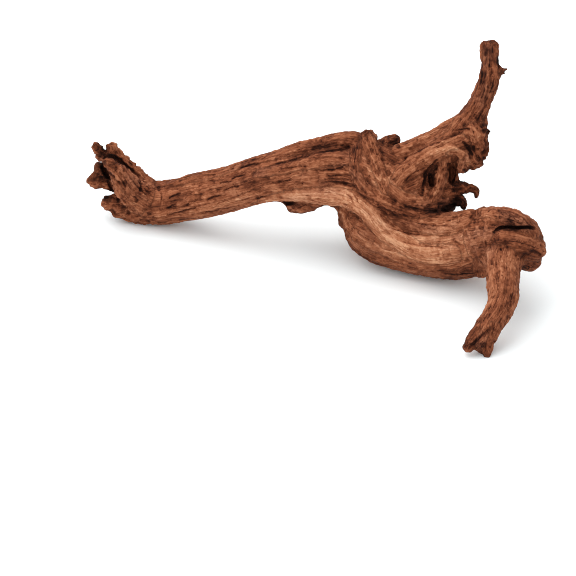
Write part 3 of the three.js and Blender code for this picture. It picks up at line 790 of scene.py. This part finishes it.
class Surface:
    """What the wood is like at each point of its skin: relief, shade painted into cracks, pits and cuts,
    tone with painted shade and highlights, and grain.
    """

    def __init__(self, wood, vertices, normals):
        self.wood = wood
        self.vertices = vertices
        self.normals = normals
        self.weight = np.zeros(len(vertices))
        self.relief = np.zeros(len(vertices))
        self.split = np.zeros(len(vertices))
        self.tone = np.zeros(len(vertices))
        self.streak = np.zeros(len(vertices))
        self.grain = np.zeros((len(vertices), 3))
        self.best = np.full(len(vertices), np.inf)
        self.noise = [Noise(SEED + i) for i in range(8)]
        for order, strand in enumerate(wood.strands):
            self.add_strand(strand, order)
        for name in ("relief", "split", "tone", "streak"):
            setattr(self, name, getattr(self, name) / self.weight)
        self.add_cracks_and_ridges()
        in_cut = np.exp(-np.maximum(wood.cut_gap(vertices), 0) / CUT_FALLOFF)
        self.relief *= 1 - CUT_SMOOTHING * in_cut
        # painted shade inside the cuts
        self.split = np.maximum(self.split, CUT_PAINTED_SHADE * in_cut)

    def add_strand(self, strand, order):
        """Adds one strand's grain to the points near it, more where the strand is the nearest."""
        near = strand.near(self.vertices, GRAIN_REACH)
        gap, rod, share = strand.measure(self.vertices[near])
        touching = gap < GRAIN_REACH
        near, gap, rod, share = near[touching], gap[touching], rod[touching], share[touching]
        points = self.vertices[near]
        grain = strand.grain(points, rod, share)
        shift = STRAND_SHIFT * (order + 1)
        broad, wave, fold, fibre, patch, lump, grit, colour = self.noise
        sways = [SWAY * wave(grain / SWAY_LENGTH + offset) for offset in (shift, -shift)]
        bent = grain + np.stack([np.zeros(len(grain)), *sways], axis=1)
        furrow = fold(bent / FURROW_SIZE + shift)
        thread = fibre(bent / THREAD_SIZE + shift)
        crack = np.maximum(1 - np.abs(broad(bent / CRACK_SIZE + shift)) / CRACK_WIDTH, 0)
        crack *= np.clip(CRACK_PATCH_GAIN * patch(grain / CRACK_PATCH_SIZE + shift), 0, 1)
        lumpy = sum(part * lump(points / size + offset) for size, offset, part in LUMPS)
        pit = np.clip(grit(points / PIT_SIZE + shift) - PIT_START, 0, PIT_RANGE) / PIT_RANGE
        relief = strand.furrows * (furrow + THREAD_SHARE * thread) + strand.lumps * lumpy
        relief = relief - CRACK_DEPTH * crack - strand.pits * pit
        # paler on raised lumps and furrow crests and darker in their dips, painted highlight and shade
        # over the relief, with a random patch of the wood's own tone
        tone = strand.tone + 0.15 * patch(grain / TONE_PATCH_SIZE - shift) + 0.07 * furrow + 0.09 * lumpy
        streak = 0.6 * colour(bent / STREAK_SIZE + shift) + 0.5 * thread
        weight = np.exp(-gap / CREASE)
        self.weight[near] += weight
        self.relief[near] += weight * relief
        # painted shade in the strand's cracks and pits
        self.split[near] += weight * np.clip(0.7 * crack + 0.5 * pit * strand.pits, 0, 1)
        self.tone[near] += weight * tone
        self.streak[near] += weight * streak
        nearest = gap < self.best[near]
        self.best[near[nearest]] = gap[nearest]
        self.grain[near[nearest]] = bent[nearest] + shift

    def add_cracks_and_ridges(self):
        """Lays the stains and painted shade, raises the ridges with highlights painted on their crests,
        and opens the drying cracks with shade painted into them, all on the skin that the viewer sees.
        """
        across, drop, _ = on_sketch(self.vertices)
        seen = np.flatnonzero(seen_by_viewer(self.vertices, self.normals))
        wobble = WOBBLE * self.noise[1](self.vertices[seen] / WOBBLE_LENGTH)
        across, drop = across[seen] + wobble, drop[seen] + wobble
        # the wood's own patches, and painted shade on a face turned from the light, in creases and along
        # the trunk's lower edge
        for patch_across, patch_drop, radius, change in STAINS_AND_PAINTED_SHADE:
            gap = np.hypot(across - patch_across, drop - patch_drop) + 1.5 * wobble
            self.tone[seen] += change * np.exp(-(gap / radius) ** 2)
        for width, height, path in RIDGES:
            crest = along_path(across, drop, path, width)
            self.relief[seen] += height * crest
            # painted highlight along the ridge's crest
            self.tone[seen] += RIDGE_HIGHLIGHT * crest
        for width, depth, path in CRACKS:
            cut = along_path(across, drop, path, width)
            self.relief[seen] -= depth * cut
            # painted shade along the drying cracks
            self.split[seen] = np.maximum(self.split[seen], cut)

    def painted_crease_shade(self):
        """How closed in each point is by the wood around it, from 0 in the open to 1 deep in a crease; the
        material paints shade into the creases by it.
        """
        shut = np.zeros(len(self.vertices))
        for reach, share in CREASE_SHADE_REACHES:
            gap = self.wood.distance(self.vertices + reach * self.normals, margin=reach + CREASE_SHADE_MARGIN)
            shut += share * np.clip(1 - gap / reach, 0, 1)
        return shut


def make_wood_mesh(wood, material):
    """The wood as one closed mesh, with its relief, paint and material."""
    skin = Skin(wood, CELL)
    skin.fill_pinches()
    vertices, quads = largest_part(*skin.mesh())
    vertices = relax(vertices, quads)
    normals = vertex_normals(vertices, quads)
    surface = Surface(wood, vertices, normals)
    vertices = vertices + surface.relief[:, None] * normals
    vertices[:, 2] = np.maximum(vertices[:, 2], 0.0)
    mesh = bpy.data.meshes.new("mopani_wood_skin")
    mesh.from_pydata((vertices / METRE).tolist(), [], quads.tolist())
    piece = bpy.data.objects.new("mopani_wood_skin", mesh)
    bpy.context.scene.collection.objects.link(piece)
    thin(piece)
    paint(piece.data, wood)
    piece.data.materials.append(material)
    return piece


def thin(piece):
    """Brings the mesh under its limit of triangles, keeping the sharpest detail."""
    triangles = 2 * len(piece.data.polygons)
    modifier = piece.modifiers.new("thin", "DECIMATE")
    modifier.ratio = min(1.0, TRIANGLE_LIMIT / triangles)
    evaluated = piece.evaluated_get(bpy.context.evaluated_depsgraph_get())
    thinned = bpy.data.meshes.new_from_object(evaluated)
    piece.modifiers.remove(modifier)
    full = piece.data
    piece.data = thinned
    bpy.data.meshes.remove(full)
    thinned.name = "mopani_wood_skin"
    thinned.polygons.foreach_set("use_smooth", np.ones(len(thinned.polygons), dtype=bool))


def paint(mesh, wood):
    """Writes what the material needs onto the vertices: tone, streaks, painted shade in cracks, painted
    shade in creases, and grain.
    """
    flat = np.zeros(3 * len(mesh.vertices))
    mesh.vertices.foreach_get("co", flat)
    vertices = flat.reshape(-1, 3) * METRE
    mesh.vertices.foreach_get("normal", flat)
    surface = Surface(wood, vertices, flat.reshape(-1, 3).copy())
    looks = {
        "tone": surface.tone, "streak": surface.streak, "split": surface.split,
        "painted_crease_shade": surface.painted_crease_shade(),
    }
    for name, values in looks.items():
        mesh.attributes.new(name, "FLOAT", "POINT").data.foreach_set("value", values)
    grain = mesh.attributes.new("grain", "FLOAT_VECTOR", "POINT")
    grain.data.foreach_set("vector", surface.grain.ravel())


MIX_FIRST = 6
MIX_SECOND = 7
MIX_RESULT = 2


class Nodes:
    """Small helpers to lay out a material's nodes."""

    def __init__(self, material):
        material.use_nodes = True
        self.tree = material.node_tree
        self.tree.nodes.clear()

    def add(self, kind, **settings):
        node = self.tree.nodes.new(kind)
        for name, value in settings.items():
            setattr(node, name, value)
        return node

    def link(self, source, target):
        self.tree.links.new(source, target)

    def attribute(self, name, output="Fac"):
        return self.add("ShaderNodeAttribute", attribute_name=name).outputs[output]

    def math(self, operation, a, b, clamp=False):
        node = self.add("ShaderNodeMath", operation=operation, use_clamp=clamp)
        for socket, value in zip(node.inputs, (a, b)):
            if isinstance(value, (int, float)):
                socket.default_value = value
            else:
                self.link(value, socket)
        return node.outputs[0]

    def share(self, name, part):
        """A part of one of the mesh's own values."""
        return self.math("MULTIPLY", self.attribute(name), part)

    def ramp(self, value, stops):
        node = self.add("ShaderNodeValToRGB")
        elements = node.color_ramp.elements
        while len(elements) < len(stops):
            elements.new(0.5)
        for element, (position, colour) in zip(elements, stops):
            element.position = position
            element.color = (*linear(colour), 1.0)
        self.link(value, node.inputs["Fac"])
        return node.outputs["Color"]

    def mix(self, share, first, second):
        """A blend of two colours. A Mix node holds its colour sockets after those of other kinds."""
        node = self.add("ShaderNodeMix", data_type="RGBA")
        self.link(share, node.inputs["Factor"])
        self.link(first, node.inputs[MIX_FIRST])
        self.link(second, node.inputs[MIX_SECOND])
        return node.outputs[MIX_RESULT]

    def noise(self, vector, stretch, detail):
        mapping = self.add("ShaderNodeMapping")
        mapping.inputs["Scale"].default_value = stretch
        self.link(vector, mapping.inputs["Vector"])
        node = self.add("ShaderNodeTexNoise")
        node.inputs["Scale"].default_value = 1.0
        node.inputs["Detail"].default_value = detail
        self.link(mapping.outputs["Vector"], node.inputs["Vector"])
        return node.outputs["Fac"]


def linear(colour):
    """A screen colour, 0 to 255, as the light it stands for."""
    shares = [channel / 255 for channel in colour]
    return tuple(s / 12.92 if s <= 0.04045 else ((s + 0.055) / 1.055) ** 2.4 for s in shares)


# Screen colours of the wood, from the darkest, where shade is painted into cracks, to the palest, on
# ridges with painted highlights
WOOD_STOPS = [
    (0.00, (30, 11, 5)), (0.18, (62, 28, 15)), (0.38, (104, 55, 34)), (0.56, (138, 80, 53)),
    (0.76, (170, 109, 77)), (1.00, (206, 150, 114)),
]

# The same where the wood is weathered and greyer
WEATHERED_STOPS = [
    (0.0, (34, 20, 16)), (0.18, (68, 42, 34)), (0.38, (108, 74, 60)), (0.56, (142, 101, 82)),
    (0.76, (174, 130, 107)), (1.0, (208, 166, 140)),
]
FLOOR_COLOUR = (245, 250, 251)

# The colour's noises: stretch along the grain and across it, and detail
FIBRE_NOISE = ((0.075, 0.62, 0.62), 4.0)
SPECK_NOISE = ((0.35, 0.8, 0.8), 3.0)
VEIN_NOISE = ((0.014, 0.17, 0.17), 2.0)
WEATHER_NOISE = ((0.022, 0.055, 0.055), 3.0)

# How much each mark changes the tone, with shade painted into cracks and creases
STREAK_SHARE = 0.15
FIBRE_SHARE = 0.62
SPECK_SHARE = 0.50
VEIN_SHARE = 0.20
VEIN_SHARPNESS = 70.0
PAINTED_CRACK_SHADE_SHARE = 0.32
PAINTED_CREASE_SHADE_SHARE = 0.55
WEATHER_START = 0.52
WEATHER_GAIN = 3.2
WEATHER_SHARE = 0.34

# The surface: matte, with fine fibres that stand out a little
ROUGHNESS = 0.85
SHINE = 0.10
SPECK_BUMP = 0.6
VEIN_BUMP = 0.3
BUMP_STRENGTH = 0.8
BUMP_HEIGHT = 0.0022


def wood_material():
    material = bpy.data.materials.new("mopani_wood")
    nodes = Nodes(material)
    grain = nodes.attribute("grain", "Vector")
    fibre = nodes.noise(grain, *FIBRE_NOISE)
    speck = nodes.noise(grain, *SPECK_NOISE)
    vein = nodes.noise(grain, *VEIN_NOISE)
    line = nodes.math("ABSOLUTE", nodes.math("SUBTRACT", vein, 0.5), 0.0)
    line = nodes.math("SUBTRACT", 1.0, nodes.math("MULTIPLY", line, VEIN_SHARPNESS), clamp=True)
    value = nodes.math("ADD", nodes.share("streak", STREAK_SHARE), nodes.attribute("tone"))
    for noise, share in ((fibre, FIBRE_SHARE), (speck, SPECK_SHARE)):
        value = nodes.math("ADD", value, nodes.math("MULTIPLY", nodes.math("SUBTRACT", noise, 0.5), share))
    value = nodes.math("SUBTRACT", value, nodes.math("MULTIPLY", line, VEIN_SHARE))
    # painted shade in cracks, pits and cuts
    value = nodes.math("SUBTRACT", value, nodes.share("split", PAINTED_CRACK_SHADE_SHARE))
    # painted shade in creases, darker where the wood closes in round the point
    value = nodes.math("SUBTRACT", value, nodes.share("painted_crease_shade", PAINTED_CREASE_SHADE_SHARE), clamp=True)
    weather = nodes.math("SUBTRACT", nodes.noise(grain, *WEATHER_NOISE), WEATHER_START)
    weather = nodes.math("MULTIPLY", weather, WEATHER_GAIN, clamp=True)
    weather = nodes.math("MULTIPLY", weather, WEATHER_SHARE)
    colour = nodes.mix(weather, nodes.ramp(value, WOOD_STOPS), nodes.ramp(value, WEATHERED_STOPS))
    height = nodes.math("ADD", fibre, nodes.math("MULTIPLY", speck, SPECK_BUMP))
    height = nodes.math("SUBTRACT", height, nodes.math("MULTIPLY", line, VEIN_BUMP))
    bump = nodes.add("ShaderNodeBump")
    bump.inputs["Strength"].default_value = BUMP_STRENGTH
    bump.inputs["Distance"].default_value = BUMP_HEIGHT
    nodes.link(height, bump.inputs["Height"])
    shader = nodes.add("ShaderNodeBsdfPrincipled")
    shader.inputs["Roughness"].default_value = ROUGHNESS
    shader.inputs["Specular IOR Level"].default_value = SHINE
    nodes.link(colour, shader.inputs["Base Color"])
    nodes.link(bump.outputs["Normal"], shader.inputs["Normal"])
    output = nodes.add("ShaderNodeOutputMaterial")
    nodes.link(shader.outputs["BSDF"], output.inputs["Surface"])
    return material


def floor_material():
    material = bpy.data.materials.new("pale_floor")
    nodes = Nodes(material)
    shader = nodes.add("ShaderNodeBsdfDiffuse")
    shader.inputs["Color"].default_value = (*linear(FLOOR_COLOUR), 1.0)
    output = nodes.add("ShaderNodeOutputMaterial")
    nodes.link(shader.outputs["BSDF"], output.inputs["Surface"])
    return material


# The camera looks down at the sketch's own angle from far off, so that the view is nearly parallel.
CAMERA_DISTANCE = 12.0
PIXEL_BLUR = 1.0
SENSOR_WIDTH = 36.0
CAMERA_SIGHT = 100.0

# The surroundings: a wide pale floor, an even white sky, and two soft lights aimed at the wood
FLOOR_SIZE = 14.0
WORLD_LIGHT = 0.95
LIGHT_AIM = (0.05, 0.0, 0.05)
KEY_POWER = 50.0
KEY_SIZE = 3.0
KEY_PLACE = (-0.80, 0.70, 2.1)
FILL_POWER = 15.0
FILL_SIZE = 2.0
FILL_PLACE = (-0.6, -2.2, 1.8)


def add_camera():
    camera = bpy.data.cameras.new("camera")
    camera.sensor_width = SENSOR_WIDTH
    camera.lens = SENSOR_WIDTH * CAMERA_DISTANCE / (SKETCH_SIZE / METRE)
    camera.clip_end = CAMERA_SIGHT
    holder = bpy.data.objects.new("camera", camera)
    middle = SKETCH_SIZE / 2
    centre = Vector(place([(middle, middle, 0)])[0] / METRE)
    holder.location = centre + Vector(TO_VIEWER) * CAMERA_DISTANCE
    holder.rotation_euler = (math.pi / 2 - SKETCH_TILT, 0, 0)
    bpy.context.scene.collection.objects.link(holder)
    bpy.context.scene.camera = holder


def add_area_light(name, location, size, power):
    light = bpy.data.lights.new(name, "AREA")
    light.size = size
    light.energy = power
    holder = bpy.data.objects.new(name, light)
    holder.location = location
    holder.rotation_euler = (Vector(LIGHT_AIM) - Vector(location)).to_track_quat("-Z", "Y").to_euler()
    bpy.context.scene.collection.objects.link(holder)


def add_surroundings():
    floor = bpy.data.meshes.new("floor")
    half = FLOOR_SIZE / 2
    corners = [(-half, -half, 0), (half, -half, 0), (half, half, 0), (-half, half, 0)]
    floor.from_pydata(corners, [], [(0, 1, 2, 3)])
    floor.materials.append(floor_material())
    floor_piece = bpy.data.objects.new("floor", floor)
    bpy.context.scene.collection.objects.link(floor_piece)
    world = bpy.data.worlds.new("pale_room")
    world.use_nodes = True
    background = world.node_tree.nodes["Background"]
    background.inputs["Color"].default_value = (1.0, 1.0, 1.0, 1.0)
    background.inputs["Strength"].default_value = WORLD_LIGHT
    bpy.context.scene.world = world
    add_area_light("key", KEY_PLACE, KEY_SIZE, KEY_POWER)
    add_area_light("fill", FILL_PLACE, FILL_SIZE, FILL_POWER)
    bpy.context.scene.view_settings.view_transform = "Standard"
    bpy.context.scene.cycles.filter_width = PIXEL_BLUR


wood_piece = make_wood_mesh(Wood(), wood_material())
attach(wood_piece, "root")
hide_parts("mopani_wood")
add_surroundings()
add_camera()
